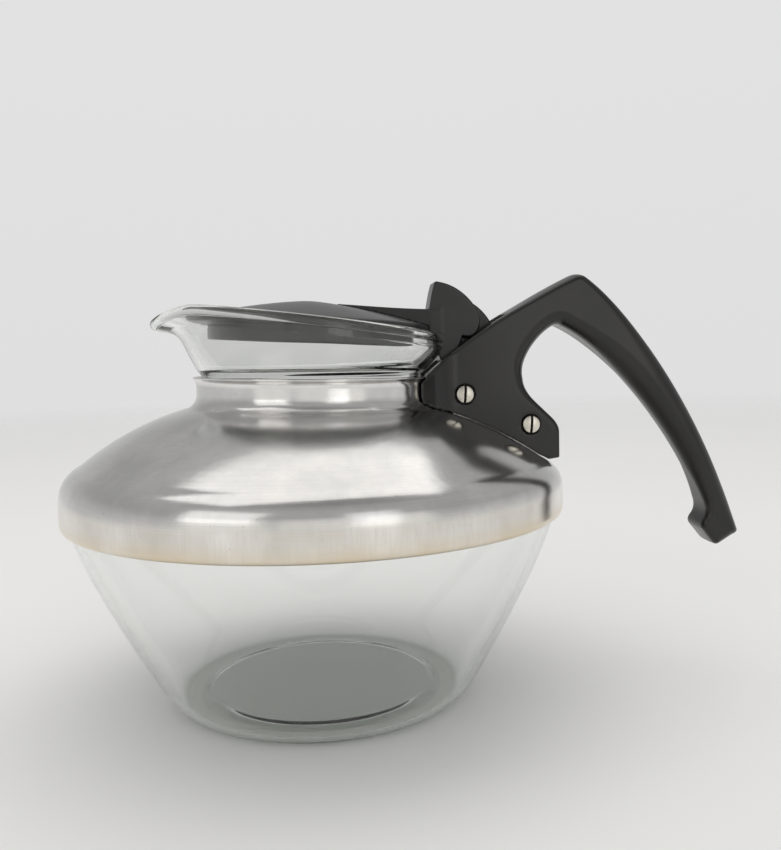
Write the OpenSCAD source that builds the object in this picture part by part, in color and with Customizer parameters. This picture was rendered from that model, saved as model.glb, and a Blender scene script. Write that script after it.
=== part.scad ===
// Glass coffee server with a clamped metal shoulder, a hooked handle and a hinged lid.
// The origin is on the bowl's axis at the foot, +Z is up, the handle is on +X and the spout on -X.

/* [Glass vessel] */
// Radius of the flat foot that the vessel stands on
foot_r = 55; // [45:1:60]
// Outer radius where the rounded foot corner meets the sloping side
corner_r = 64; // [62:1:74]
// Height of that corner
corner_h = 10; // [7:1:16]
// Widest outer radius of the bowl
bowl_r = 93.8; // [86:0.2:110]
// Outer radius of the neck
neck_r = 42.6; // [39:0.2:48]
// Glass wall thickness
glass_t = 2.6; // [2:0.1:3.6]
// Thickness of the floor
floor_t = 4; // [3:0.5:6]
// Outer radius of the flared mouth
mouth_r = 51.4; // [50:0.2:60]
// Height above the neck where the flared wall has turned upright
flare_h = 17.5; // [14:0.5:19]
// Height of the rim's middle above the collar
mouth_h = 22.2; // [21:0.2:28]
// Slope of the rim in degrees, high at the spout
rim_tilt = 7.3; // [3:0.1:9]
// Radius of the round bead that edges the mouth
bead_r = 2.1; // [1.5:0.1:2.6]
// Distance of the spout's tip beyond the mouth
spout_out = 9.6; // [6:0.2:14]
// Radius of the spout's scoop, seen from above
spout_r = 17; // [12:0.5:20]
// Depth of the spout's scoop below the rim
spout_h = 11; // [8:0.5:14]
// Fall of the spout's lip towards its tip, in degrees
lip_fall = 32; // [26:1:38]

/* [Metal shoulder] */
// Height of the skirt's lower edge above the foot
skirt_low = 71.9; // [60:0.1:90]
// Height of the upright band of the skirt
band_h = 17.5; // [12:0.5:20]
// Height that the cone rises from the band to the collar
cone_rise = 25.2; // [22:0.2:30]
// Bulge of the cone's slope above a straight line
cone_crown = 2.2; // [0.5:0.1:2.5]
// Radius of the bend between the band and the cone
bend_r = 8; // [5:0.5:9]
// Height of the collar
collar_h = 9.5; // [8.5:0.1:12]
// Radius of the fillet at the collar's foot
fillet_r = 4; // [2:0.5:4]
// How far the collar's lip flares out
lip_out = 1.2; // [0.5:0.1:2]
// How far the skirt's edge turns in
edge_in = 1.2; // [0.4:0.1:1.6]
// Sheet thickness
sheet_t = 0.8; // [0.5:0.1:1]
// Width of the split that lets the shoulder open around the neck
split_w = 1; // [0.6:0.1:1.6]

/* [Seals] */
// Thickness of the liner between the neck and the collar
liner_t = 1.6; // [1.2:0.1:2.4]
// Thickness of the cushion between the bowl and the skirt
cushion_t = 1.6; // [1.2:0.1:2.4]
// Height of the cushion
cushion_h = 6; // [4:0.5:8]

/* [Clamp] */
// Thickness of each clamp lug
lug_t = 1.2; // [1:0.1:1.6]
// Radius of each lug's eye around its screw
lug_eye_r = 4.5; // [3.8:0.1:4.8]
// Width of each lug's foot under the cone
lug_foot_w = 9; // [6:0.5:12]
// Thread radius of the clamp screws
screw_r = 1.9; // [1.5:0.1:2.2]
// Head radius of the clamp screws
head_r = 3.4; // [3:0.1:4]
// Head height of the clamp screws
head_h = 1.8; // [1.4:0.1:2.2]
// Width of a screw's slot
slot_w = 0.9; // [0.6:0.1:1.2]
// Depth of the recess that each head sits in
recess_h = 1; // [0.6:0.1:1.4]
// Distance of the upper screw from the collar, along X
screw_x = 13.7; // [12:0.1:15]
// Distance between the screws along X
screw_pitch = 26.1; // [22:0.1:28]
// Height of the upper screw above the cone
upper_up = 6.6; // [6:0.1:8]
// Height of the lower screw above the cone
lower_up = 7.7; // [6:0.1:9]
// Width of a nut across its flats
nut_w = 7; // [6:0.1:8]
// Thickness of a nut
nut_h = 2.6; // [2:0.1:3.2]

/* [Handle] */
// Thickness of the handle at its plate
plate_w = 22; // [20:0.5:28]
// Width of the yoke in which the handle's root ends at the collar
yoke_w = 46; // [42:0.5:50]
// Length over which the yoke widens
yoke_run = 16; // [14:0.5:18]
// Thickness of the handle at its apex
apex_w = 19; // [15:0.5:22]
// Thickness of the handle at its toe
toe_w = 16; // [12:0.5:20]
// Apex of the handle beyond the skirt
apex_x = 9.3; // [4.3:0.5:13.8]
// Apex of the handle above the collar
apex_z = 38.5; // [34:0.5:44]
// Toe of the handle beyond the skirt
toe_x = 76.3; // [68.3:0.5:85.8]
// Drop from the collar's top to the toe's outer corner
toe_z = 67; // [58:0.5:72]
// Reach of the hand space from its crotch back to the handle's throat
throat_x = 16; // [14:0.5:17]

/* [Lid] */
// Rise of the lid's dome
dome_rise = 10.4; // [8:0.2:12]
// Thickness of the lid
lid_t = 2.5; // [2:0.1:3]
// Gap between the lid's edge and the mouth
lid_gap = 2.7; // [2:0.1:4]
// Outer radius of the ring under the lid
ring_r = 40; // [36:0.5:41]
// Wall of that ring
ring_t = 2; // [1.5:0.1:2.5]
// Depth of that ring below the lid's edge
ring_h = 2.4; // [1:0.2:3]
// Width of the lid's lever and its thumb piece
lever_w = 13; // [10:0.5:13.5]
// Width of the rib behind the thumb piece
rib_w = 5; // [3:0.5:6]
// Radius of the thumb piece's fan
fan_r = 18; // [15:0.5:18.5]
// Radius of the rib's round back, around the hinge pin
rib_r = 29.6; // [28:0.2:30.4]
// Radius of the hinge pin
pin_r = 1.5; // [1:0.1:1.8]
// Thickness of the near cheek in front of the pin's end
pin_wall = 1.5; // [1:0.1:2.5]
// Radius of the lever's eye around the pin
eye_r = 4; // [3.4:0.1:4.2]
// Angle that the lid opens by
lid_open = 35; // [20:1:38]
// Thread radius of the lid screws
lid_screw_r = 1.2; // [0.9:0.1:1.5]
// Distance of the lid screws from the middle of the lever
lid_screw_y = 3; // [2.5:0.1:3.4]

/* [Fits] */
// Clearance of a screw in its hole
hole_gap = 0.15; // [0.1:0.05:0.25]
// Clearance around a screw's head in its recess
head_gap = 0.6; // [0.4:0.1:1]
// Clearance around the lugs and the nuts in the handle
lug_gap = 0.15; // [0.1:0.05:0.2]
// Running clearance of the lever on its pin
pin_gap = 0.05; // [0.02:0.01:0.09]
// Clearance of the lever in the handle's slot, on each side
side_gap = 0.5; // [0.4:0.1:0.8]
// Clearance between the handle and the metal shoulder
seat_gap = 0.2; // [0.1:0.05:0.4]
// Clearance under the lid where it meets the rim
rim_gap = 0.6; // [0.4:0.1:1]

/* [Hidden] */
$fn = 96;
curve_steps = 12;
cut = 400;

// Points of a quadratic curve from a to c that bends towards b
function bend(a, b, c, n = curve_steps) =
    [for (i = [0:n]) let (t = i / n) (1 - t) * (1 - t) * a + 2 * t * (1 - t) * b + t * t * c];
// Points of a cubic curve from a to d that leaves towards b and arrives from c
function sweep(a, b, c, d, n = curve_steps) =
    [for (i = [0:n]) let (t = i / n, u = 1 - t)
        u * u * u * a + 3 * u * u * t * b + 3 * u * t * t * c + t * t * t * d];
function unit(v) = v / norm(v);
function left_of(v) = [-v[1], v[0]];
function last(list) = len(list) - 1;
// The same line moved sideways to its left by a distance
function shifted(line, by) =
    [for (i = [0:last(line)])
        line[i] + by * left_of(unit(line[min(i + 1, last(line))] - line[max(i - 1, 0)]))];
function reversed(list) = [for (i = [last(list):-1:0]) list[i]];
// The line without the points that repeat the one before
function tidy(line) =
    [for (i = [0:last(line)]) if (i == 0 || norm(line[i] - line[i - 1]) > 0.02) line[i]];

// Metal shoulder, outer line from the skirt's edge to the collar's lip
skirt_r = bowl_r + cushion_t + sheet_t;
collar_r = neck_r + liner_t + sheet_t;
band_top = skirt_low + band_h;
collar_low = band_top + cone_rise;
collar_top = collar_low + collar_h;
cone_foot = [skirt_r, band_top];
cone_head = [collar_r, collar_low];
cone_dir = unit(cone_head - cone_foot);
cone_start = cone_foot + cone_dir * bend_r;
cone_end = cone_head - cone_dir * fillet_r;
cone_mid = (cone_start + cone_end) / 2 - left_of(cone_dir) * 2 * cone_crown;
edge_h = 3;
shell_line = tidy(concat(
    bend([skirt_r - edge_in, skirt_low], [skirt_r, skirt_low + 0.6], [skirt_r, skirt_low + edge_h], 4),
    bend(cone_foot - [0, bend_r], cone_foot, cone_start, 6),
    bend(cone_start, cone_mid, cone_end),
    bend(cone_end, cone_head, cone_head + [0, fillet_r], 6),
    bend([collar_r, collar_top - 3], [collar_r, collar_top - 1], [collar_r + lip_out, collar_top], 4)));
// Height of the cone's outer face at a radius
function cone_z(r) = lookup(-r, [for (p = shell_line) if (p[1] > band_top - 1) [-p[0], p[1]]]);

// Glass vessel, outer line from the foot to the top of the mouth
shoulder_gap = 4.2;
neck_low = collar_low - 1;
neck_top = collar_top + 1.5;
bowl_h = skirt_low + 4;
side_bend = [bowl_r - 2, bowl_h - 16];
side_slope = (side_bend[0] - corner_r) / (side_bend[1] - corner_h);
under_cone = shifted(bend(cone_start, cone_mid, cone_end, 6), shoulder_gap);
glass_line = tidy(concat(
    bend([foot_r, 0], [corner_r - corner_h * side_slope, 0], [corner_r, corner_h], 8),
    bend([corner_r, corner_h], side_bend, [bowl_r, bowl_h]),
    bend([bowl_r, bowl_h], [bowl_r, band_top - 2], under_cone[1], 8),
    [under_cone[3], under_cone[5]],
    bend(under_cone[5] + [-3, 1.2], [neck_r, neck_low - 3.5], [neck_r, neck_low + 2], 8),
    [[neck_r, collar_top + 5]]));
glass_inner = tidy([for (p = shifted(glass_line, glass_t)) if (p[1] > floor_t + 1) p]);
// The flared mouth leans a little with its rim; its line is drawn from the neck's top
lean = rim_tilt / 3;
blend = 0.4;
mouth_line = concat(
    sweep([neck_r - blend, -4], [neck_r + blend, 3], [mouth_r, 5.5], [mouth_r, flare_h]),
    [[mouth_r, 2 * mouth_h]]);

// Rim, spout and lid
rim_z = collar_top + mouth_h;
mouth_in = mouth_r - glass_t;
mouth_shift = mouth_h * sin(lean);
spout_x = mouth_r - mouth_shift + spout_out - spout_r;
spout_top = rim_z + mouth_r * tan(rim_tilt);
lid_r = mouth_in - lid_gap;
lid_edge = rim_z - lid_r * tan(rim_tilt) + rim_gap;
lid_top = lid_edge + lid_t + dome_rise;
ring_in = ring_r - ring_t;
dome_r = (lid_r * lid_r + dome_rise * dome_rise) / (2 * dome_rise);
// Height of the dome's top at a distance from the axis
function dome_z(x) = lid_top - dome_r + sqrt(dome_r * dome_r - x * x);

// Hinge and thumb piece
pin = [mouth_r + mouth_shift + 0.8, collar_top];
fan = [pin[0] - 5, lid_edge + 0.6];
fan_edge_x = fan[0] - 2.2;
rib_back = 48;
arm_tip = 8;
arm_top = lid_edge + 8.6;
lid_head_r = lid_screw_r + 0.8;
lid_head_h = 1;
lid_screw_x = ring_in - lid_head_r - 0.5;
lid_screw_top = arm_top;

// Handle and clamp: the outline is laid out from the skirt's top corner and the collar's top
hand = [skirt_r, collar_top];
half_w = plate_w / 2;
lever_slot = lever_w + 2 * side_gap;
lug_in = split_w / 2;
lug_out = lug_in + lug_t;
lug_slot = 2 * (lug_out + lug_gap);
screws = [for (i = [0, 1]) let (x = collar_r + screw_x + i * screw_pitch)
    [x, cone_z(x) + (i == 0 ? upper_up : lower_up)]];
apex = hand + [apex_x, apex_z];
toe = hand + [toe_x, -toe_z];
crotch = apex - [7, 20.5];
throat = [crotch[0] - throat_x, collar_top - 2.6];
heel = hand + [0.4, -21];
nose = [collar_r - 4.8, collar_top - 3];
slot_h = head_h / 2;
nut_r = nut_w / 2 / cos(30);
nut_in = 0.2;

// Places the drawing's X and Y on the model's X and Z, with thickness w centred on Y = 0
module upright(w) {
    rotate([90, 0, 0]) translate([0, 0, -w / 2]) linear_extrude(w) children();
}

// A round bar along Y from y0 to y1 at a point of the side view
module cross_bar(p, r, y0, y1) {
    translate([p[0], y1, p[1]]) rotate([90, 0, 0]) cylinder(r = r, h = y1 - y0);
}

// The half-space above the sloping rim
module above_rim(z) {
    translate([0, 0, z]) rotate([0, rim_tilt, 0]) translate([-cut / 2, -cut / 2, 0]) cube(cut);
}

// Scoop of the spout, grown inwards by a wall
module scoop(wall) {
    low = spout_top - spout_h;
    r = spout_r - wall;
    translate([-spout_x, 0, wall * 1.2]) rotate_extrude()
        polygon(concat(sweep([0, low - 4], [r * 0.45, low], [r * 0.9, low - 1], [r, low + 3.4]),
            [[r, spout_top + 9], [0, spout_top + 9]]));
}

// The half-space above the spout's lip, which falls towards its tip
module above_lip() {
    translate([-mouth_r + 1, 0, spout_top + 0.6]) rotate([0, -lip_fall, 0])
        translate([-cut, -cut / 2, 0]) cube(cut);
}

// The flared mouth as a solid, grown inwards by a wall
module mouth_solid(wall) {
    line = wall > 0 ? shifted(mouth_line, wall) : mouth_line;
    translate([0, 0, neck_top]) rotate([0, lean, 0]) rotate_extrude()
        polygon(concat([[0, line[0][1]]], line, [[0, line[last(line)][1]]]));
}

// The vessel below its mouth as a solid inside a line
module bowl_solid(line, z0) {
    difference() {
        rotate_extrude() polygon(concat([[0, z0]], line, [[0, line[last(line)][1]]]));
        translate([0, 0, neck_top + 1]) rotate([0, lean, 0])
            translate([-cut / 2, -cut / 2, 0]) cube(cut);
    }
}

module glass_bowl() {
    bead_z = rim_z - bead_r;
    color([0.85, 0.9, 0.86, 0.4]) {
        difference() {
            union() {
                bowl_solid(glass_line, 0);
                mouth_solid(0);
                scoop(0);
            }
            bowl_solid(glass_inner, floor_t);
            mouth_solid(glass_t);
            scoop(glass_t);
            above_rim(bead_z);
            above_lip();
        }
        difference() {
            translate([mouth_shift, 0, bead_z - mouth_shift * tan(rim_tilt)])
                rotate([0, rim_tilt, 0]) rotate_extrude()
                    translate([mouth_r - bead_r, 0]) circle(bead_r, $fn = 32);
            scoop(glass_t);
            above_lip();
        }
    }
}

module shoulder_shell() {
    color("silver") difference() {
        rotate_extrude() polygon(concat(shell_line, reversed(shifted(shell_line, sheet_t))));
        translate([0, -split_w / 2, 0]) cube([cut, split_w, cut]);
        lug_notch();
    }
}

// Notch in the cone that both lugs stand up through
module lug_notch() {
    room = lug_eye_r + lug_gap;
    translate([screws[0][0] - room, -lug_slot / 2, 0]) cube([screw_pitch + 2 * room, lug_slot, cut]);
}

module neck_liner() {
    color("dimgray") rotate_extrude()
        translate([neck_r, collar_low + fillet_r]) square([liner_t, collar_h - fillet_r - 2.5]);
}

module skirt_cushion() {
    color("dimgray") rotate_extrude()
        translate([bowl_r, skirt_low + edge_h + seat_gap]) square([cushion_t, cushion_h]);
}

// Side view of the strip that joins both screws, reaching a height above and below them
module bar(h) {
    polygon([screws[0] + [0, h], screws[0] - [0, h], screws[1] - [0, h], screws[1] + [0, h]]);
}

// Side view of a lug: a bar between two eyes, standing on the cone's inner face
module lug_outline() {
    x0 = screws[0][0] - lug_eye_r;
    x1 = screws[1][0] + lug_eye_r;
    difference() {
        union() {
            for (s = screws) translate(s) circle(lug_eye_r);
            polygon([[x0, screws[0][1]], [x0, cone_z(x0) - lug_t - sheet_t],
                [x1, cone_z(x1) - lug_t - sheet_t], [x1, screws[1][1]]]);
            bar(lug_eye_r);
        }
        for (s = screws) translate(s) circle(screw_r + hole_gap);
    }
}

// One lug of the clamp; side is -1 for the near one and 1 for the far one
module clamp_lug(side) {
    under = shifted(bend(cone_start, cone_mid, cone_end), sheet_t);
    deep = shifted(bend(cone_start, cone_mid, cone_end), sheet_t + lug_t);
    y0 = side > 0 ? lug_in : -lug_out;
    foot_y = side > 0 ? lug_in : -lug_in - lug_foot_w;
    color("gray") {
        difference() {
            translate([0, y0 + lug_t / 2, 0]) upright(lug_t) lug_outline();
            rotate_extrude() polygon(concat(deep, [[collar_r - 5, collar_low], [collar_r - 5, 0],
                [skirt_r, 0]]));
        }
        intersection() {
            rotate_extrude() polygon(concat(under, reversed(deep)));
            translate([screws[0][0] - lug_eye_r, foot_y, 0])
                cube([screw_pitch + 2 * lug_eye_r, lug_foot_w, cut]);
        }
    }
}

module near_clamp_lug() {
    clamp_lug(-1);
}

module far_clamp_lug() {
    clamp_lug(1);
}

// Side view of the whole handle
module handle_outline() {
    polygon(tidy(concat(
        sweep(nose, nose + [13.6, 13.5], apex + [-21, -9.3], apex + [-2.5, -0.8]),
        bend(apex + [-2.5, -0.8], apex + [0.4, 0.7], apex + [3, -1], 4),
        sweep(apex + [3, -1], apex + [24.5, -16], toe + [-13, 45.5], toe),
        bend(toe + [-9.5, -5.4], toe + [-10.8, -6], toe + [-12, -4.9], 4),
        bend(toe + [-18.2, 2], toe + [-19.2, 3.2], toe + [-18.2, 4.4], 4),
        bend(toe + [-18.2, 4.4], toe + [-14, 8], toe + [-15.6, 13]),
        sweep(toe + [-15.6, 13], toe + [-22, 34], crotch + [24, -11.5], crotch, 16),
        bend(crotch, crotch + [-1, 0.8], crotch + [-3, 0.2], 4),
        sweep(crotch + [-3, 0.2], crotch + [-9, -2.5], throat + [-1.5, 8], throat),
        bend(throat, throat + [0, -4.5], throat + [5, -9.5]),
        bend(heel + [-3, 3], heel, heel - [0, 3], 4),
        [[heel[0], band_top + 0.6], [nose[0], band_top - bend_r]])));
}

// Plan view of the handle, which thins from its plate to its toe
module handle_plan() {
    yoke = [for (i = [0:6]) let (t = i / 6)
        [nose[0] + t * yoke_run, plate_w + (yoke_w - plate_w) * (1 - t) * (1 - t)]];
    taper = concat(yoke, [[throat[0] - 6, plate_w], [apex[0], apex_w], [toe[0] + 10, toe_w]]);
    polygon(concat([for (p = taper) [p[0], p[1] / 2]],
        reversed([for (p = taper) [p[0], -p[1] / 2]])));
}

// A pie slice around the pin in the side view, from angle a0 up to straight left
module slice(r, a0) {
    far = 2 * r;
    intersection() {
        circle(r);
        polygon([[0, 0], far * [cos(a0), sin(a0)], [far, far], [-far, far], [-far, 0]]);
    }
}

// Space that the lever sweeps through inside the handle
module lever_sweep() {
    floor_a = rib_back - lid_open - 2;
    translate(pin) {
        circle(eye_r + side_gap);
        slice(rib_r + 0.8, floor_a);
        slice(rib_r + 3.2, floor_a + 22);
        translate([-30, -eye_r - side_gap]) square([30, 40]);
    }
}

module handle() {
    color([0.06, 0.06, 0.06]) difference() {
        intersection() {
            upright(yoke_w + 2) handle_outline();
            linear_extrude(cut) handle_plan();
        }
        shoulder_space();
        upright(lever_slot) lever_sweep();
        upright(lug_slot) lug_space();
        for (s = screws) {
            cross_bar(s, screw_r + hole_gap, -half_w - 1, half_w + 1);
            cross_bar(s, head_r + head_gap, -half_w - 1, -half_w + recess_h);
            translate([s[0], half_w + 1, s[1]]) rotate([90, 0, 0])
                cylinder(r = nut_r + lug_gap, h = nut_in + nut_h + 1, $fn = 6);
        }
        cross_bar(pin, pin_r, -half_w + pin_wall, half_w + 1);
    }
}

// Everything inside the metal shoulder's outer face, with the handle's clearance
module shoulder_space() {
    outer = shifted(shell_line, -seat_gap);
    rotate_extrude() polygon(concat([[0, 0], [outer[0][0], 0]], outer,
        [[outer[last(outer)][0], collar_top + 0.6], [0, collar_top + 0.6]]));
}

// Room for both lugs between the handle's cheeks
module lug_space() {
    room = lug_eye_r + lug_gap;
    for (s = screws) translate(s) circle(room);
    polygon([[screws[0][0] - room, screws[0][1]], [screws[0][0] - room, 0],
        [screws[1][0] + room, 0], [screws[1][0] + room, screws[1][1]]]);
    bar(room);
}

// A slotted screw through the near cheek, both lugs and the far cheek
module clamp_screw(s) {
    face = -half_w + recess_h;
    color("gainsboro") difference() {
        union() {
            cross_bar(s, screw_r, face - 0.1, half_w - nut_in);
            translate([s[0], face, s[1]]) rotate([90, 0, 0]) intersection() {
                cylinder(r = head_r, h = head_h);
                translate([0, 0, head_h - 3 * head_r]) sphere(3 * head_r);
            }
        }
        translate([s[0] - slot_w / 2, face - head_h - 1, s[1] - head_r - 1])
            cube([slot_w, slot_h + 1, 2 * head_r + 2]);
    }
}

module upper_screw() {
    clamp_screw(screws[0]);
}

module lower_screw() {
    clamp_screw(screws[1]);
}

// A hexagon nut in its pocket in the far cheek
module clamp_nut(s) {
    color("gray") translate([s[0], half_w - nut_in, s[1]]) rotate([90, 0, 0]) difference() {
        cylinder(r = nut_r, h = nut_h, $fn = 6);
        translate([0, 0, -1]) cylinder(r = screw_r, h = nut_h + 2);
    }
}

module upper_nut() {
    clamp_nut(screws[0]);
}

module lower_nut() {
    clamp_nut(screws[1]);
}

module hinge_pin() {
    color("gray") cross_bar(pin, pin_r, -half_w + pin_wall, half_w - nut_in);
}

module lid_cover() {
    color([0.08, 0.08, 0.08]) difference() {
        rotate_extrude() polygon(concat(
            [for (i = [0:16]) let (x = i * ring_in / 16) [x, dome_z(x) - lid_t]],
            [[ring_in, lid_edge - ring_h], [ring_r, lid_edge - ring_h], [ring_r, lid_edge],
                [lid_r, lid_edge]],
            [for (i = [16:-1:0]) let (x = i * lid_r / 16) [x, dome_z(x)]]));
        for (y = [-lid_screw_y, lid_screw_y])
            translate([lid_screw_x, y, lid_edge - 1]) cylinder(r = lid_screw_r + hole_gap, h = 20);
    }
}

// Everything under the dome's top face
module under_dome() {
    rotate_extrude() polygon(concat([[0, lid_edge - 1]], [[lid_r, lid_edge - 1]],
        [for (i = [16:-1:0]) let (x = i * lid_r / 16) [x, dome_z(x)]]));
}

// Side view of the thumb piece, its fan and the neck down to the pin
module thumb_outline() {
    translate(fan) intersection() {
        circle(fan_r);
        polygon([[-2.2, 9], [-0.3, fan_r + 2], [fan_r + 2, fan_r + 2], [fan_r + 2, -1.5],
            [fan_r - 4.5, -3.2], [-2.2, -0.6]]);
    }
    polygon([pin - [0.3 * eye_r, 0], [pin[0] + 0.3, fan[1]], fan + [13, -1],
        pin + eye_r * [cos(60), sin(60)], pin]);
    translate(pin) circle(eye_r);
}

// Side view of the rib, whose round back runs down into the handle's slot
module rib_outline() {
    far = 2 * rib_r;
    translate(pin) intersection() {
        circle(rib_r);
        polygon([[0, 0], far * [cos(rib_back), sin(rib_back)], far * [cos(80), sin(80)]]);
    }
}

module lid_lever() {
    color([0.06, 0.06, 0.06]) difference() {
        union() {
            upright(lever_w) thumb_outline();
            upright(rib_w) rib_outline();
            intersection() {
                upright(lever_w) polygon([[arm_tip, dome_z(arm_tip) + 0.1],
                    [fan_edge_x + 1, arm_top], [fan_edge_x + 4, arm_top],
                    [fan_edge_x + 4, lid_edge], [arm_tip, lid_edge]]);
                linear_extrude(cut) polygon([[arm_tip, -1.5], [fan_edge_x, -lever_w / 2],
                    [cut, -lever_w / 2], [cut, lever_w / 2], [fan_edge_x, lever_w / 2],
                    [arm_tip, 1.5]]);
            }
        }
        under_dome();
        cross_bar(pin, pin_r + pin_gap, -lever_w, lever_w);
        for (y = [-lid_screw_y, lid_screw_y])
            translate([lid_screw_x, y, 0]) cylinder(r = lid_screw_r, h = lid_screw_top);
    }
}

// A screw up through the cover into the lever; side is -1 for the near one and 1 for the far one
module lid_screw(side) {
    seat = dome_z(lid_screw_x + lid_head_r) - lid_t - seat_gap;
    color("gray") translate([lid_screw_x, side * lid_screw_y, 0]) {
        translate([0, 0, seat]) cylinder(r = lid_screw_r, h = lid_screw_top - seat);
        translate([0, 0, seat - lid_head_h]) cylinder(r = lid_head_r, h = lid_head_h);
    }
}

module near_lid_screw() {
    lid_screw(-1);
}

module far_lid_screw() {
    lid_screw(1);
}

glass_bowl();
shoulder_shell();
neck_liner();
skirt_cushion();
near_clamp_lug();
far_clamp_lug();
handle();
upper_screw();
lower_screw();
upper_nut();
lower_nut();
hinge_pin();
lid_cover();
lid_lever();
near_lid_screw();
far_lid_screw();
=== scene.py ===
"""Looks of the glass coffee server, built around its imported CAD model.

Shapes are laid out in millimetres in the model's own frame, with +Z up, the handle on +X and the
pouring lip on -X, and turned into metres when a mesh is made.
"""
import math

import bmesh
import bpy
import numpy as np
from mathutils import Matrix, Vector


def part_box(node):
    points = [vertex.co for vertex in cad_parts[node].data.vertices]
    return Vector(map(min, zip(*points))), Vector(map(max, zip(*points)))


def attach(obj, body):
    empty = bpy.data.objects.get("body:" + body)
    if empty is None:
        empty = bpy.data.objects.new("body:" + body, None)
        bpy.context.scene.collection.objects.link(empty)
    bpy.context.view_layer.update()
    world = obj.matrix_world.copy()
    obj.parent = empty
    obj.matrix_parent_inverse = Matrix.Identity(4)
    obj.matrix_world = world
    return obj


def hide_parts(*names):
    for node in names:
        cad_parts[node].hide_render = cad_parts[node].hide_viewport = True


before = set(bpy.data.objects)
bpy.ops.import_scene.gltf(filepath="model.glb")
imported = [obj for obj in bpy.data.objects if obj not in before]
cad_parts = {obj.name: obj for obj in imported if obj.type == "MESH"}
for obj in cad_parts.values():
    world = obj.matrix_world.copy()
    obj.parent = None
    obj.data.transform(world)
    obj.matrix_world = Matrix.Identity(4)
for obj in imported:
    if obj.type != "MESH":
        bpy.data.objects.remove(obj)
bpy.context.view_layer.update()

MM = 0.001


def span(node):
    """Lowest and highest corner of a CAD node, in millimetres."""
    low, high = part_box(node)
    return Vector(low) / MM, Vector(high) / MM


# ---------------------------------------------------------------- sizes, from the frame
shell_low, shell_high = span("shoulder_shell")
glass_high = span("glass_bowl")[1]
cover_low, cover_high = span("lid_cover")
lever_high = span("lid_lever")[1]
pin_low, pin_high = span("hinge_pin")
liner_high = span("neck_liner")[1]

sheet = 0.8
glass_wall = 2.6
glass_floor = 2.8
skirt_r = shell_high.x
skirt_low = shell_low.z
band_top = skirt_low + 17.5
collar_low = band_top + 25.2
collar_top = collar_low + 9.5
collar_r = liner_high.x + sheet
bowl_r = glass_high.x
neck_r = collar_r - sheet - 1.6
foot_r = 53.0
rim_z = collar_top + 22.2
rim_slope = math.tan(math.radians(7.3))
mouth_r = 51.5
pin_r = (pin_high.x - pin_low.x) / 2
pin_at = np.array([(pin_low.x + pin_high.x) / 2, (pin_low.z + pin_high.z) / 2])
nut_in = 0.2
plate_half = pin_high.y + nut_in


# ---------------------------------------------------------------- lines in the side view
def bend(a, b, c, steps=16):
    """Points of a curve from a to c that bends towards b."""
    t = np.linspace(0, 1, steps + 1)[:, None]
    return (1 - t) ** 2 * np.array(a) + 2 * t * (1 - t) * np.array(b) + t**2 * np.array(c)


def sweep(a, b, c, d, steps=24):
    """Points of a curve from a to d that leaves towards b and arrives from c."""
    t = np.linspace(0, 1, steps + 1)[:, None]
    u = 1 - t
    ends = u**3 * np.array(a) + t**3 * np.array(d)
    return ends + 3 * u * u * t * np.array(b) + 3 * u * t * t * np.array(c)


def joined(*lines):
    """The lines end to end, without the points that repeat the one before."""
    points = np.vstack([np.atleast_2d(np.array(line, float)) for line in lines])
    keep = np.r_[True, np.linalg.norm(np.diff(points, axis=0), axis=1) > 0.02]
    return points[keep]


def measured(line):
    """Distance along the line at each of its points."""
    return np.r_[0, np.cumsum(np.linalg.norm(np.diff(line, axis=0), axis=1))]


def resampled(line, count):
    """The same line with evenly spaced points."""
    along = measured(line)
    at = np.linspace(0, along[-1], count)
    return np.stack([np.interp(at, along, line[:, i]) for i in range(2)], axis=1)


def directions(line):
    """Unit direction of the line at each of its points."""
    way = np.gradient(line, axis=0)
    return way / np.linalg.norm(way, axis=1)[:, None]


def shifted(line, by):
    """The line moved sideways to its left."""
    way = directions(line)
    return line + by * np.stack([-way[:, 1], way[:, 0]], axis=1)


def smoothstep(low, high, value):
    t = np.clip((value - low) / (high - low), 0, 1)
    return t * t * (3 - 2 * t)


# ---------------------------------------------------------------- meshes
def new_piece(name, points, faces, body, nodes, material, sharp=35):
    """A mesh piece from millimetre points that rides on a body and stands for CAD nodes."""
    mesh = bpy.data.meshes.new(name)
    mesh.from_pydata((np.asarray(points) * MM).tolist(), [], [list(map(int, f)) for f in faces])
    mesh.validate()
    work = bmesh.new()
    work.from_mesh(mesh)
    bmesh.ops.remove_doubles(work, verts=work.verts, dist=0.001 * MM)
    bmesh.ops.dissolve_degenerate(work, edges=work.edges, dist=0.001 * MM)
    bmesh.ops.recalc_face_normals(work, faces=work.faces)
    work.to_mesh(mesh)
    work.free()
    mesh.shade_smooth()
    mesh.set_sharp_from_angle(angle=math.radians(sharp))
    mesh.materials.append(material)
    piece = bpy.data.objects.new(name, mesh)
    bpy.context.scene.collection.objects.link(piece)
    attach(piece, body)
    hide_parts(*nodes)
    return piece


def grid_faces(rows, columns, wrap_rows=False, wrap_columns=True):
    """Quads between the points of a grid that is numbered row by row."""
    faces = []
    for i in range(rows if wrap_rows else rows - 1):
        for j in range(columns if wrap_columns else columns - 1):
            k = (j + 1) % columns
            m = (i + 1) % rows
            faces.append((i * columns + j, i * columns + k, m * columns + k, m * columns + j))
    return faces


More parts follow.
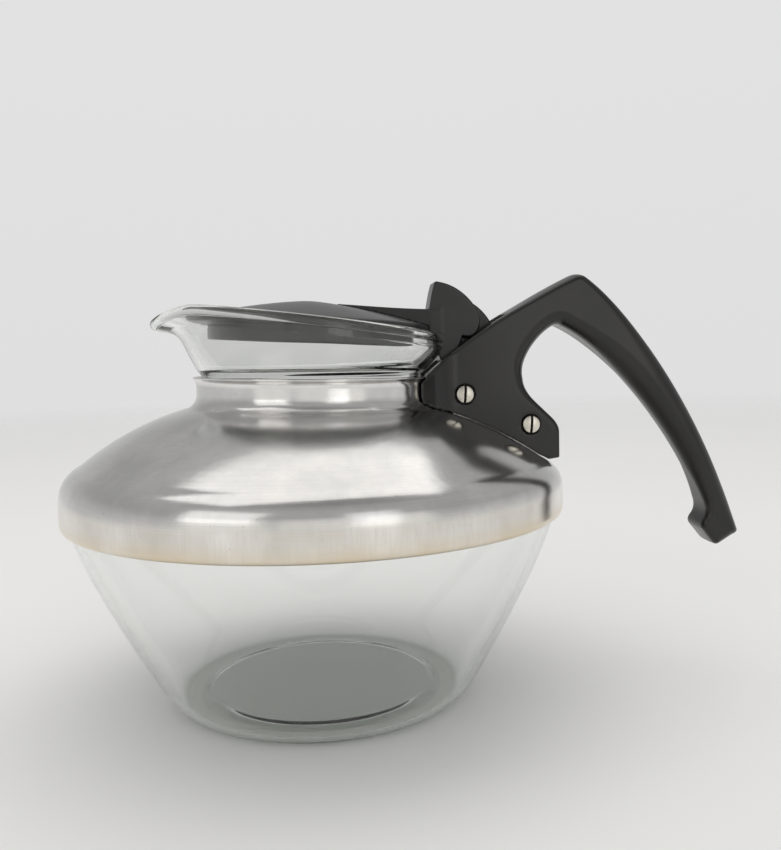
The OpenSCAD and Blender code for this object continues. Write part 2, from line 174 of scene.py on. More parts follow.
def turned(line, steps=256, start=0.0, end=360.0, closed=True):
    """A ring turned about Z from a closed line of (radius, height), or a part of a ring with flat ends."""
    whole = end - start >= 360
    angles = np.radians(np.linspace(start, end, steps, endpoint=not whole))
    line = np.asarray(line)
    points = np.stack(
        [
            np.outer(line[:, 0], np.cos(angles)),
            np.outer(line[:, 0], np.sin(angles)),
            np.outer(line[:, 1], np.ones_like(angles)),
        ],
        axis=-1,
    ).reshape(-1, 3)
    faces = grid_faces(len(line), steps, wrap_rows=closed, wrap_columns=whole)
    if not whole:
        faces.append([i * steps for i in range(len(line))])
        faces.append([i * steps + steps - 1 for i in range(len(line))][::-1])
    return points, faces


# ---------------------------------------------------------------- distance fields
class Outline:
    """Distance to a line of the side view. With inside, the line is closed and its inside is negative."""

    def __init__(self, line, inside=True):
        self.inside = inside
        self.a = np.asarray(line, float)
        self.b = np.roll(self.a, -1, axis=0)
        if not inside:
            self.a, self.b = self.a[:-1], self.b[:-1]
        lengths = np.linalg.norm(self.b - self.a, axis=1)
        self.along = np.r_[0, np.cumsum(lengths)]

    def __call__(self, x, z, with_place=False):
        x, z = np.broadcast_arrays(x, z)
        points = np.stack([x.ravel(), z.ravel()], axis=1)
        distance = np.empty(len(points))
        place = np.empty(len(points))
        way = self.b - self.a
        size = (way**2).sum(1)
        for start in range(0, len(points), 20000):
            some = points[start : start + 20000]
            rel = some[:, None] - self.a[None]
            t = np.clip((rel * way).sum(2) / size, 0, 1)
            off = rel - t[..., None] * way
            square = (off**2).sum(2)
            nearest = square.argmin(1)
            row = np.arange(len(some))
            near = np.sqrt(square[row, nearest])
            if self.inside:
                above = (self.a[:, 1] > some[:, None, 1]) != (self.b[:, 1] > some[:, None, 1])
                rise = np.where(way[:, 1] == 0, 1e-12, way[:, 1])
                cut = self.a[:, 0] + (some[:, None, 1] - self.a[:, 1]) / rise * way[:, 0]
                odd = (above & (some[:, None, 0] < cut)).sum(1) % 2
                near = np.where(odd == 1, -near, near)
            distance[start : start + 20000] = near
            place[start : start + 20000] = self.along[nearest] + t[row, nearest] * np.sqrt(size[nearest])
        distance = distance.reshape(x.shape)
        return (distance, place.reshape(x.shape)) if with_place else distance


def both(a, b, r):
    """The overlap of two solids given by their distances, with their shared edge rounded by r."""
    return np.minimum(np.maximum(a, b), -r) + np.hypot(np.maximum(a + r, 0), np.maximum(b + r, 0))


def without(a, b, r):
    """The first solid less the second, with the edge between them rounded by r."""
    return both(a, -b, r)


def either(a, b, r):
    """Both solids together, with a fillet of radius r between them."""
    return -both(-a, -b, r)


def surface_net(field, low, high, step, rounds=4):
    """Points and quads on the zero level of field(x, y, z), which is negative inside."""
    axes = [np.arange(low[i] - 2.5 * step, high[i] + 2.5 * step, step) for i in range(3)]
    value = field(axes[0][:, None, None], axes[1][None, :, None], axes[2][None, None, :])
    value = np.broadcast_to(value, [len(a) for a in axes]).copy()
    cells = np.array(value.shape) - 1
    total = np.zeros((*cells, 3))
    count = np.zeros(cells)
    crossings = []
    for axis in range(3):
        first = [slice(None)] * 3
        second = [slice(None)] * 3
        first[axis] = slice(None, -1)
        second[axis] = slice(1, None)
        va, vb = value[tuple(first)], value[tuple(second)]
        at = np.argwhere((va < 0) != (vb < 0))
        a, b = va[tuple(at.T)], vb[tuple(at.T)]
        spot = np.stack([axes[i][at[:, i]] for i in range(3)], axis=1)
        spot[:, axis] += step * a / (a - b)
        others = [i for i in range(3) if i != axis]
        good = np.all([(at[:, i] > 0) & (at[:, i] < cells[i]) for i in others], axis=0)
        at, spot, a = at[good], spot[good], a[good]
        corners = []
        for shift in ((0, 0), (-1, 0), (-1, -1), (0, -1)):
            cell = at.copy()
            cell[:, others[0]] += shift[0]
            cell[:, others[1]] += shift[1]
            np.add.at(total, tuple(cell.T), spot)
            np.add.at(count, tuple(cell.T), 1)
            corners.append(cell)
        flip = (a < 0) == (axis != 1)
        crossings.append((corners, flip))
    used = count > 0
    number = np.full(cells, -1)
    number[used] = np.arange(used.sum())
    points = total[used] / count[used][:, None]
    quads = []
    for corners, flip in crossings:
        quad = np.stack([number[tuple(c.T)] for c in corners], axis=1)
        quad[~flip] = quad[~flip][:, ::-1]
        quads.append(quad)
    quads = np.vstack(quads)
    edges = np.vstack([quads[:, [i, (i + 1) % 4]] for i in range(4)])
    degree = np.bincount(edges.ravel(), minlength=len(points))[:, None]
    for _ in range(rounds):
        middle = np.zeros_like(points)
        np.add.at(middle, edges[:, 0], points[edges[:, 1]])
        np.add.at(middle, edges[:, 1], points[edges[:, 0]])
        points = 0.5 * points + 0.5 * middle / degree
        points = on_level(field, points, step)
    return points, quads


def on_level(field, points, step, tries=2):
    """The points moved onto the field's zero level."""
    tiny = 0.02 * step
    for _ in range(tries):
        x, y, z = points.T
        here = field(x, y, z)
        slope = np.stack(
            [
                field(x + tiny, y, z) - field(x - tiny, y, z),
                field(x, y + tiny, z) - field(x, y - tiny, z),
                field(x, y, z + tiny) - field(x, y, z - tiny),
            ],
            axis=1,
        ) / (2 * tiny)
        steep = np.maximum((slope**2).sum(1), 0.05)
        move = -here[:, None] * slope / steep[:, None]
        size = np.linalg.norm(move, axis=1)[:, None]
        points = points + move * np.minimum(1, 0.5 * step / np.maximum(size, 1e-9))
    return points


# ---------------------------------------------------------------- metal shoulder
cone_foot = np.array([skirt_r, band_top])
cone_head = np.array([collar_r, collar_low])
cone_way = (cone_head - cone_foot) / np.linalg.norm(cone_head - cone_foot)
bend_r = 8.0
fillet_r = 4.0
cone_crown = 2.2
cone_start = cone_foot + bend_r * cone_way
cone_end = cone_head - fillet_r * cone_way
cone_bulge = (cone_start + cone_end) / 2 + 2 * cone_crown * np.array([cone_way[1], -cone_way[0]])
edge_in = 1.2
split_half = 0.5
lean_from = band_top - 5.5
lean_all = 0.2
lean_slope = 0.020
lean_curve = 1.3
press_deep = 1.6
press_x = (20, 80)
press_z = (lean_from - 3, lean_from + 9)
collar_blend = 4.0
shell_line = joined(
    bend((skirt_r - edge_in, skirt_low + 0.2), (skirt_r, skirt_low + 0.7), (skirt_r, skirt_low + 3)),
    bend(cone_foot - (0, bend_r), cone_foot, cone_start),
    bend(cone_start, cone_bulge, cone_end, 40),
    bend(cone_end, cone_head, cone_head + (0, fillet_r)),
    bend((collar_r, collar_top - 3), (collar_r, collar_top - 1), (collar_r + 1.1, collar_top)),
)


def rounded_strip(line, thick, steps=6):
    """Closed outline of a sheet whose outer face is the line, with round ends."""
    inner = shifted(line, thick)
    half = np.linspace(0, math.pi, steps + 1)[1:-1, None]
    top_way = directions(line)[-1]
    low_way = -directions(line)[0]
    top_side = (inner[-1] - line[-1]) / 2
    low_side = (line[0] - inner[0]) / 2
    top = line[-1] + top_side - top_side * np.cos(half) + top_way * thick / 2 * np.sin(half)
    low = inner[0] + low_side - low_side * np.cos(half) + low_way * thick / 2 * np.sin(half)
    return np.vstack([line, top, inner[::-1], low])


def lean(x, z):
    """How far the metal sits low: nothing at the band, more toward the handle, and pressed in under it."""
    share = np.clip((z - lean_from) / (collar_low - lean_from), 0, 1) ** lean_curve
    pressed = smoothstep(*press_z, z) * (1 - smoothstep(collar_low, collar_low + collar_blend, z))
    return (lean_all + lean_slope * x) * share + press_deep * smoothstep(*press_x, x) * pressed


def leaned(points):
    """The points of a ring, moved down with the metal."""
    points = np.array(points)
    points[:, 2] -= lean(points[:, 0], points[:, 2])
    return points


def make_shell(material):
    gap = math.degrees(split_half / skirt_r)
    points, faces = turned(rounded_strip(shell_line, sheet), 360, gap, 360 - gap)
    return new_piece("shoulder", leaned(points), faces, "server", ["shoulder_shell"], material, 60)


# ---------------------------------------------------------------- glass vessel
bowl_h = skirt_low + 4
corner = np.array([64.0, 10.0])
side_bend = np.array([bowl_r - 2, bowl_h - 16])
side_slope = (side_bend[0] - corner[0]) / (side_bend[1] - corner[1])
under_cone = shifted(bend(cone_start, cone_bulge, cone_end, 6), 4.2)
neck_foot = collar_low - 1
mouth_foot = collar_top + 1.0
bead_r = 1.95
bead_sink = math.sqrt(bead_r**2 - (glass_wall / 2) ** 2)
bowl_line = joined(
    bend((foot_r, 0), (corner[0] - corner[1] * side_slope, 0), corner),
    bend(corner, side_bend, (bowl_r, bowl_h), 40),
    bend((bowl_r, bowl_h), (bowl_r, band_top - 2), under_cone[1], 20),
    under_cone[3],
    under_cone[5],
    bend(under_cone[5] + (-3, 1.2), (neck_r, neck_foot - 3.5), (neck_r, neck_foot + 2)),
    (neck_r, mouth_foot),
)
flare = joined(
    bend((neck_r, 0), (neck_r + 0.1, 0.03), (neck_r + 1.6, 0.10), 8),
    bend((neck_r + 1.6, 0.10), (mouth_r - 1.2, 0.56), (mouth_r, 0.82), 20),
    (mouth_r, 1.0),
)
lip_half = math.radians(38)
punt_out = 48.0
punt_in = 41.5
punt_rise = 1.2
heel_z = glass_floor + 0.5


def wall_line(theta):
    """Outer line of the mouth's wall at an angle, from the neck up to its bead, without the lip."""
    top = rim_z - rim_slope * mouth_r * math.cos(theta) - bead_r - bead_sink
    line = np.stack([flare[:, 0], mouth_foot + flare[:, 1] * (top - mouth_foot)], axis=1)
    return resampled(line, 60)


def lip_line():
    """Outer line of the wall through the middle of the pouring lip."""
    plain = wall_line(math.pi)
    low = plain[plain[:, 1] < mouth_foot + 12.5]
    at = low[-1]
    way = directions(low)[-1]
    return resampled(
        joined(
            low,
            sweep(at, at + 2.5 * way, (51.6, 142.3), (55.5, 142.7), 16),
            sweep((55.5, 142.7), (57.4, 142.9), (58.6, 143.1), (59.3, 143.7), 8),
        ),
        60,
    )


lip_wall = lip_line()


def glass_section(theta):
    """Outer line and bead of the glass at an angle."""
    away = abs((theta - math.pi + math.pi) % (2 * math.pi) - math.pi)
    lip = (0.5 + 0.5 * math.cos(math.pi * min(away / lip_half, 1))) ** 1.25
    wall = (1 - lip) * wall_line(theta) + lip * lip_wall
    outer = joined(bowl_line, wall[1:])
    way = directions(outer)[-1]
    side = np.array([-way[1], way[0]])
    centre = outer[-1] + side * glass_wall / 2 + way * bead_sink
    start = math.asin(glass_wall / 2 / bead_r) + 0.25
    turn = np.linspace(start, 2 * math.pi - start, 28)[:, None]
    bead = centre - way * bead_r * np.cos(turn) - side * bead_r * np.sin(turn)
    return outer, bead


def make_glass(material):
    steps = 288
    hub = 1.0
    rise = np.array([0, punt_rise])
    step_in = sweep(
        (punt_in, 0) + rise, (punt_in + 3, 0) + rise, (punt_out - 3.5, 0.0), (punt_out, 0.0), 14
    )
    punt = joined((hub, 0) + rise, step_in, (foot_r - 1.5, 0.0))
    floor_low = joined((foot_r - 0.5, 0.0), step_in[::-1], (hub, 0) + rise) + (0, glass_floor)
    angles = np.linspace(0, 2 * math.pi, steps, endpoint=False)
    sections = []
    for theta in angles:
        outer, bead = glass_section(theta)
        inner = shifted(outer, glass_wall)
        inner = inner[inner[:, 1] > heel_z][::-1]
        sections.append((outer, bead, inner))
    fewest = min(len(s[2]) for s in sections)
    rows = []
    for outer, bead, inner in sections:
        heel_at = inner[fewest - 1]
        heel_way = heel_at - inner[fewest - 2]
        heel_way = heel_way / np.linalg.norm(heel_way)
        turn = bend(heel_at, heel_at + 1.5 * heel_way, floor_low[0], 6)
        rows.append(np.vstack([punt, outer, bead, inner[:fewest], turn[1:-1], floor_low]))
    rows = np.array(rows)
    count = rows.shape[1]
    turned_x = rows[..., 0] * np.cos(angles)[:, None]
    turned_y = rows[..., 0] * np.sin(angles)[:, None]
    points = np.stack([turned_x, turned_y, rows[..., 1]], axis=-1).reshape(-1, 3)
    faces = grid_faces(steps, count, wrap_rows=True, wrap_columns=False)
    faces.append([i * count for i in range(steps)])
    faces.append([i * count + count - 1 for i in range(steps)][::-1])
    return new_piece("vessel", points, faces, "server", ["glass_bowl"], material, 80)


# ---------------------------------------------------------------- handle
class Lookup:
    """Values of a function of the side view, kept on a fine grid and read between its points."""

    def __init__(self, source, low, high, step=0.25):
        self.low = np.array(low, float)
        self.step = step
        self.axes = [np.arange(low[i], high[i] + step, step) for i in range(2)]
        values = source(self.axes[0][:, None], self.axes[1][None, :])
        self.values = values if isinstance(values, tuple) else (values,)

    def __call__(self, x, z):
        x, z = np.broadcast_arrays(x, z)
        u = np.clip((x - self.low[0]) / self.step, 0, len(self.axes[0]) - 1.001)
        v = np.clip((z - self.low[1]) / self.step, 0, len(self.axes[1]) - 1.001)
        i = u.astype(int)
        j = v.astype(int)
        u = u - i
        v = v - j
        found = []
        for value in self.values:
            found.append(
                (1 - u) * (1 - v) * value[i, j]
                + u * (1 - v) * value[i + 1, j]
                + (1 - u) * v * value[i, j + 1]
                + u * v * value[i + 1, j + 1]
            )
        return found[0] if len(found) == 1 else found


def arc(centre, radius, start, end, steps=24):
    """Points of an arc, in degrees."""
    angle = np.radians(np.linspace(start, end, steps + 1))
    return np.array(centre) + radius * np.stack([np.cos(angle), np.sin(angle)], axis=1)


seat_gap = 0.2
hand = np.array([skirt_r, collar_top])
apex = hand + (9.3, 38.5)
toe = hand + (76.3, -67.0)
crotch = apex - (7.0, 20.5)
throat = np.array([crotch[0] - 16, collar_top - 2.6])
heel = hand + (0.4, -21.0)
nose = np.array([collar_r - 4.8, collar_top - 3.0])
yoke_half = 23.0
yoke_run = 16.0
outer_line = joined(
    sweep(nose, nose + (13.6, 13.5), apex + (-21, -9.3), apex + (-2.5, -0.8), 30),
    bend(apex + (-2.5, -0.8), apex + (0.4, 0.7), apex + (3, -1), 8),
    sweep(apex + (3, -1), apex + (24.5, -16), toe + (-13, 45.5), toe, 40),
    bend(toe, toe + (-0.3, -1.6), toe + (-3, -2.4), 6),
    bend(toe + (-8.6, -5.5), toe + (-9.9, -6.2), toe + (-11.2, -5.0), 6),
    bend(toe + (-15.6, 0.7), toe + (-17.2, 2.6), toe + (-15.8, 4.6), 8),
)
inner_line = joined(
    bend(toe + (-15.8, 4.6), toe + (-12.8, 8), toe + (-15.0, 13), 10),
    sweep(toe + (-15.0, 13), toe + (-22, 34), crotch + (24, -11.5), crotch, 36),
    bend(crotch, crotch + (-1, 0.8), crotch + (-3, 0.2), 6),
    sweep(crotch + (-3, 0.2), crotch + (-9, -2.5), throat + (-1.5, 8), throat, 20),
    bend(throat, throat + (0, -4.5), throat + (5, -9.5), 12),
    bend(heel + (-3, 3), heel, heel - (0, 3), 6),
)
foot_line = [(heel[0], band_top + 0.6), (nose[0], band_top - bend_r)]
hand_low = np.array([nose[0] - 6, toe[1] - 12])
hand_high = np.array([toe[0] + 6, apex[1] + 6])
hand_side = Lookup(Outline(joined(outer_line, inner_line, foot_line)), hand_low, hand_high)
outer_path = Outline(outer_line, inside=False)
inner_path = Outline(inner_line, inside=False)
hand_outer = Lookup(lambda x, z: outer_path(x, z, with_place=True), hand_low, hand_high)
hand_inner = Lookup(lambda x, z: inner_path(x, z, with_place=True), hand_low, hand_high)
shell_face = shifted(shell_line, -seat_gap)
shell_end = (shell_face[-1, 0], collar_top + 0.6)
shell_side = Lookup(
    Outline(joined([(-9, 0), (shell_face[0, 0], 0)], shell_face, [shell_end, (-9, shell_end[1])])),
    (20, 50),
    (130, 170),
)

rib_r = 29.6
rib_tail = np.array([72.0, 142.2])
rib_line = sweep(rib_tail, (69.5, 148.0), (64.0, 153.2), (58.2, 154.0), 20)
lid_open = 35.0
eye_r = 4.0
side_gap = 0.5
lever_half = lever_high.y
tail_r = np.linalg.norm(rib_tail - pin_at)
slot_floor = math.degrees(math.asin((rib_tail - pin_at)[1] / tail_r)) - lid_open - 1.5
slot_side = Lookup(
    Outline(
        joined(
            [pin_at + (-30, -eye_r - side_gap)],
            arc(pin_at, eye_r + side_gap, -90, slot_floor, 12),
            arc(pin_at, tail_r + 1.2, slot_floor, slot_floor + 6, 4),
            arc(pin_at, rib_r + 0.8, slot_floor + 6, slot_floor + 27, 12),
            arc(pin_at, rib_r + 3.2, slot_floor + 27, 110, 24),
            [pin_at + (-30, 36)],
        )
    ),
    hand_low - 6,
    hand_high,
)
screws = {}
for node in ("upper_screw", "lower_screw"):
    screw_low, screw_high = span(node)
    screws[node] = np.array([(screw_low.x + screw_high.x) / 2, (screw_low.z + screw_high.z) / 2])
    head_r = (screw_high.x - screw_low.x) / 2
    screw_face = screw_low.y
screw_r = 1.9
head_h = 1.8
diagonal = 0.7071
slot_w = 0.9
slot_turn = 0.06
slot_left = 0.55
recess_h = 1.0
hole_gap = 0.15
lug_half = 1.85
lug_eye = 4.65
nut_flats = 7.0
nut_h = 2.6
nut_face = plate_half - nut_in
nut_foot = nut_face - nut_h


# Along the handle's outer and inner line, as shares of it: the edge's radius, and how far the
# outer face falls from its middle to its sides.
outer_round = ([0, 0.3, 0.42, 0.6, 0.86, 0.93, 1], [1.2, 1.4, 2.4, 4.2, 4.5, 3.0, 2.6])
inner_round = (
    [0, 0.06, 0.15, 0.45, 0.56, 0.62, 0.8, 0.9, 1],
    [2.6, 4.0, 7.4, 8.6, 6.0, 5.5, 5.5, 2.2, 1.6],
)
crown_drop = ([0, 0.17, 0.24, 0.32, 0.5, 0.8, 0.9, 1], [0.0, 0.0, 0.9, 1.2, 2.4, 1.8, 0.6, 0.2])
apex_half = 9.6
toe_half = 8.1


def inside_bar(x, z, low, high, half):
    """Distance to the strip between two points of the side view."""
    way = high - low
    t = np.clip(((x - low[0]) * way[0] + (z - low[1]) * way[1]) / (way**2).sum(), 0, 1)
    return np.hypot(x - low[0] - t * way[0], z - low[1] - t * way[1]) - half


def hexagon(x, z, centre, half):
    """Distance to a hexagon with two corners along X."""
    u = np.abs(x - centre[0])
    v = np.abs(z - centre[1])
    return np.maximum(v, 0.866 * u + 0.5 * v) - half


def handle_field(x, y, z):
    away = hand_side(x, z)
    out_d, out_place = hand_outer(x, z)
    in_d, in_place = hand_inner(x, z)
    out_share = out_place / outer_path.along[-1]
    in_share = in_place / inner_path.along[-1]
    round_out = np.interp(out_share, *outer_round)
    round_in = np.interp(in_share, *inner_round)
    crown = np.interp(out_share, *crown_drop)
    blend = smoothstep(0.3, 0.7, out_d / np.maximum(out_d + in_d, 1e-6))
    rounding = (1 - blend) * round_out + blend * round_in
    half = np.interp(x, [throat[0] - 6, apex[0], toe[0]], [plate_half, apex_half, toe_half])
    half = half + (yoke_half - plate_half) * (1 - np.clip((x - nose[0]) / yoke_run, 0, 1)) ** 2
    across = np.clip(np.abs(y) / half, 0, 1.2)
    body = both(away + crown * (1 - blend) * across**2, np.abs(y) - half, rounding)
    body = without(body, shell_side(np.hypot(x, y), z + lean(x, z)), 0.5)
    body = without(body, both(slot_side(x, z), np.abs(y) - lever_half - side_gap, 0.4), 0.5)
    upper, lower = screws["upper_screw"], screws["lower_screw"]
    between = np.abs(x - (upper[0] + lower[0]) / 2) - (lower[0] - upper[0]) / 2
    lugs = np.minimum(
        inside_bar(x, z, upper, lower, lug_eye),
        np.maximum(between - lug_eye, z - lower[1]),
    )
    body = np.maximum(body, -np.maximum(lugs, np.abs(y) - lug_half))
    for centre in screws.values():
        off = np.hypot(x - centre[0], z - centre[1])
        body = without(body, np.maximum(off - head_r - 0.6, y + plate_half - recess_h), 0.25)
        body = np.maximum(body, -(off - screw_r - hole_gap))
        pocket = np.maximum(hexagon(x, z, centre, nut_flats / 2 + hole_gap), nut_foot - y)
        body = without(body, pocket, 0.25)
    off = np.hypot(x - pin_at[0], z - pin_at[1])
    return without(body, np.maximum(off - pin_r - 0.03, -plate_half + 1.4 - y), 0.2)


def make_handle(material):
    low = (nose[0] - 1, -yoke_half, toe[1] - 7)
    high = (toe[0] + 1, yoke_half, apex[1] + 1)
    points, faces = surface_net(handle_field, low, high, 0.65, 3)
    return new_piece("grip", points, faces, "server", ["handle"], material, 50)


# ---------------------------------------------------------------- lid and its lever
lid_edge = cover_low.z + 2.4
lid_r = cover_high.x
lid_t = 2.5
ring_r = 40.0
ring_in = 38.0
ring_h = 6.2
lid_lean = 0.064
level_x = 37.0
dome_rise = cover_high.z - lid_edge - lid_t - lid_lean * level_x
arm_tip = 8.0
arm_top = lid_edge + 8.6
fan = np.array([pin_at[0] - 5, lid_edge + 0.6])
fan_edge = fan[0] - 2.2
rib_half = 2.5
lid_screw_x = ring_in - 2.5
lid_screw_y = 3.0
lid_screw_r = 1.2


def dome_z(r):
    """Height of the lid's top at a distance from its axis, before the lid leans."""
    return lid_edge + lid_t + dome_rise * (1 - (np.abs(r) / lid_r) ** 1.4)


def lid_lift(x):
    """How far the lid, which follows the mouth's slope a little, stands above its level place."""
    return lid_lean * (level_x - x)


def top_z(x):
    """Height of the lid's top in its middle plane."""
    return dome_z(x) + lid_lift(x)


def make_cover(material):
    steps = 256
    hub = 0.6
    top_r = np.linspace(lid_r - 1.2, hub, 40)
    under_r = np.linspace(hub, ring_in - 1.4, 30)
    rim = lid_r - 0.05
    under = dome_z(under_r) - lid_t
    ring_low = lid_edge - ring_h
    line = joined(
        np.stack([under_r, under], axis=1),
        bend((ring_in - 1.4, under[-1]), (ring_in, under[-1] - 0.1), (ring_in, under[-1] - 1.6), 8),
        bend((ring_in, ring_low + 0.8), (ring_in, ring_low), (ring_in + 0.8, ring_low), 6),
        bend((ring_r - 0.8, ring_low), (ring_r, ring_low), (ring_r, ring_low + 0.8), 6),
        bend((ring_r, lid_edge - 0.8), (ring_r, lid_edge), (ring_r + 0.8, lid_edge), 6),
        bend((lid_r - 1.4, lid_edge), (rim, lid_edge), (rim, lid_edge + 1.0), 8),
        bend((rim, dome_z(rim) - 0.9), (rim, dome_z(rim) - 0.1), (lid_r - 1.2, dome_z(lid_r - 1.2)), 8),
        np.stack([top_r, dome_z(top_r)], axis=1),
    )
    points, faces = turned(line, steps, closed=False)
    faces.append(list(range(steps)))
    faces.append(list(range(len(points) - steps, len(points))))
    points[:, 2] += lid_lift(points[:, 0])
    return new_piece("cover", points, faces, "lid", ["lid_cover"], material, 50)


fan_line = joined(
    [(fan_edge, fan[1] - 0.6), (fan_edge, 149.8)],
    bend((fan_edge, 149.8), (fan_edge + 1.0, 156.0), (fan_edge + 2.2, 159.8), 8),
    bend((fan_edge + 2.2, 159.8), (fan_edge + 2.6, 160.6), (50.0, 160.1), 6),
    sweep((50.0, 160.1), (56.0, 159.0), (60.5, 155.2), (63.3, 151.4), 20),
    sweep((63.3, 151.4), (65.6, 148.2), (66.4, 145.4), (65.7, 143.0), 12),
    bend((65.7, 143.0), (64.8, 138.6), (61.2, 138.5), 10),
    bend((61.2, 138.5), (58.0, 139.2), (54.5, 139.8), 8),
    [pin_at + (-1.0, 6.0), pin_at + (-1.0, 0.0)],
)
thumb_side = Lookup(Outline(fan_line), (0, 110), (95, 170))
neck_side = Lookup(
    Outline(
        joined(
            [pin_at + (-1.2, 0.0), pin_at + (-1.2, 16.0), fan + (11.5, 0.0)],
            arc(pin_at, eye_r, 60, -90, 12),
        )
    ),
    (0, 110),
    (95, 170),
)
rib_side = Lookup(
    Outline(joined([pin_at], rib_line)),
    (0, 110),
    (95, 170),
)
arm_line = joined(
    [(arm_tip - 3, top_z(arm_tip - 3) - 1.0)],
    sweep(
        (arm_tip - 1, top_z(arm_tip - 1)),
        (arm_tip + 10, top_z(arm_tip) - 0.7),
        (fan_edge - 14, arm_top + 0.6),
        (fan_edge + 1, arm_top),
        24,
    ),
    [(fan_edge + 5, arm_top), (fan_edge + 5, lid_edge - 1), (arm_tip - 3, lid_edge - 1)],
)
arm_side = Lookup(Outline(arm_line), (0, 110), (95, 170))


def lever_field(x, y, z):
    side = np.abs(y)
    fan_part = both(thumb_side(x, z), side - lever_half, 0.6)
    eye = np.hypot(x - pin_at[0], z - pin_at[1]) - eye_r
    neck = both(np.minimum(neck_side(x, z), eye), side - lever_half, 0.5)
    rib = both(rib_side(x, z), side - rib_half, 0.9)
    half = np.interp(x, [arm_tip - 2, arm_tip + 8, fan_edge], [0.6, 2.6, lever_half])
    arm = both(arm_side(x, z), side - half, 0.7)
    body = either(np.minimum(fan_part, neck), arm, 0.8)
    body = either(body, rib, 0.6)
    off = np.hypot(x - pin_at[0], z - pin_at[1])
    body = without(body, off - pin_r - 0.05, 0.2)
    r = np.minimum(np.hypot(x, y), lid_r + 2)
    cap = np.maximum(z - dome_z(np.minimum(r, lid_r)) - lid_lift(x), np.hypot(x, y) - lid_r)
    body = np.maximum(body, -np.maximum(cap, -40.0))
    for y0 in (-lid_screw_y, lid_screw_y):
        hole = np.maximum(np.hypot(x - lid_screw_x, y - y0) - lid_screw_r, z - arm_top + 1.0)
        body = np.maximum(body, -hole)
    return body


def make_lever(material):
    low = (arm_tip - 3, -lever_half, pin_at[1] - eye_r)
    high = (pin_at[0] + 21, lever_half, 161)
    points, faces = surface_net(lever_field, low, high, 0.4, 3)
    return new_piece("lever", points, faces, "lid", ["lid_lever"], material, 50)


# ---------------------------------------------------------------- small metal and rubber parts
def screw_field(x, y, z, centre):
    off = np.hypot(x - centre[0], z - centre[1])
    ball = 3 * head_r
    top = screw_face
    dome = np.sqrt(off**2 + (y - (top + ball)) ** 2) - ball
    head = both(np.maximum(off - head_r, y - (top + head_h)), dome, 0.25)
    shank = np.maximum(off - screw_r, np.maximum(y - nut_face, top + head_h - 0.3 - y))
    across = np.abs(x - centre[0] - slot_turn * (z - centre[1]))
    slot = np.maximum(across - slot_w / 2, y - (top + head_h - slot_left))
    return np.minimum(without(head, slot, 0.12), shank)


def make_screw(node, name, material):
    centre = screws[node]
    low = (centre[0] - head_r, screw_face, centre[1] - head_r)
    high = (centre[0] + head_r, nut_face, centre[1] + head_r)
    points, faces = surface_net(lambda x, y, z: screw_field(x, y, z, centre), low, high, 0.16, 2)
    return new_piece(name, points, faces, "server", [node], material, 40)


def nut_field(x, y, z, centre):
    off = np.hypot(x - centre[0], z - centre[1])
    tall = np.abs(y - (nut_face + nut_foot) / 2) - nut_h / 2
    flat = np.maximum(hexagon(x, z, centre, nut_flats / 2), tall)
    chamfer = (off + y - (nut_flats / 2 + nut_face + 0.1)) * diagonal
    body = np.maximum(flat, chamfer)
    return without(body, off - screw_r - 0.02, 0.25)


def make_nut(node, name, material):
    centre = screws[node.replace("nut", "screw")]
    size = nut_flats / 2 / 0.866
    low = (centre[0] - size, nut_foot, centre[1] - size)
    high = (centre[0] + size, nut_face, centre[1] + size)
    points, faces = surface_net(lambda x, y, z: nut_field(x, y, z, centre), low, high, 0.2, 1)
    return new_piece(name, points, faces, "server", [node], material, 30)


def make_ring(name, node, material):
    low, high = span(node)
    inner_r = high.x - 1.6
    e = 0.35
    line = joined(
        bend((inner_r, low.z + e), (inner_r, low.z), (inner_r + e, low.z), 4),
        bend((high.x - e, low.z), (high.x, low.z), (high.x, low.z + e), 4),
        bend((high.x, high.z - e), (high.x, high.z), (high.x - e, high.z), 4),
        bend((inner_r + e, high.z), (inner_r, high.z), (inner_r, high.z - e), 4),
    )
    points, faces = turned(line, 192)
    return new_piece(name, leaned(points), faces, "server", [node], material, 40)


def make_lid_screw(node, name, material):
    low, high = span(node)
    x = (low.x + high.x) / 2
    y = (low.y + high.y) / 2
    radius = (high.x - low.x) / 2
    low.z = top_z(x + radius) - lid_t - 1.1

    def field(px, py, pz):
        tall = np.abs(pz - (low.z + high.z) / 2) - (high.z - low.z) / 2
        off = np.hypot(px - x, py - y)
        head = both(off - radius, np.abs(pz - low.z - 0.5) - 0.5, 0.25)
        cross = np.minimum(np.abs(px - x), np.abs(py - y)) - 0.28
        head = np.maximum(head, -np.maximum(np.maximum(cross, off - 1.2), pz - low.z - 0.5))
        shank = np.maximum(off - lid_screw_r + 0.02, tall + 0.1)
        return np.minimum(head, shank)

    points, faces = surface_net(field, (low.x, low.y, low.z), (high.x, high.y, high.z), 0.16, 1)
    return new_piece(name, points, faces, "lid", [node], material, 40)


# ---------------------------------------------------------------- materials
def blank(name):
    """A new material with a Principled shader, its node tree, shader and output."""
    material = bpy.data.materials.new(name)
    material.use_nodes = True
    tree = material.node_tree
    tree.nodes.clear()
    shader = tree.nodes.new("ShaderNodeBsdfPrincipled")
    output = tree.nodes.new("ShaderNodeOutputMaterial")
    tree.links.new(shader.outputs[0], output.inputs[0])
    return material, tree, shader, output


def put(tree, socket, value):
    """Sets a socket to a number or a colour, or links another socket to it."""
    if isinstance(value, (int, float)):
        socket.default_value = value
    elif isinstance(value, tuple):
        socket.default_value = (*value, 1)
    else:
        tree.links.new(value, socket)


def feed(tree, node, **values):
    """Puts a value in each named input of a node."""
    for key, value in values.items():
        put(tree, node.inputs[key.replace("_", " ")], value)


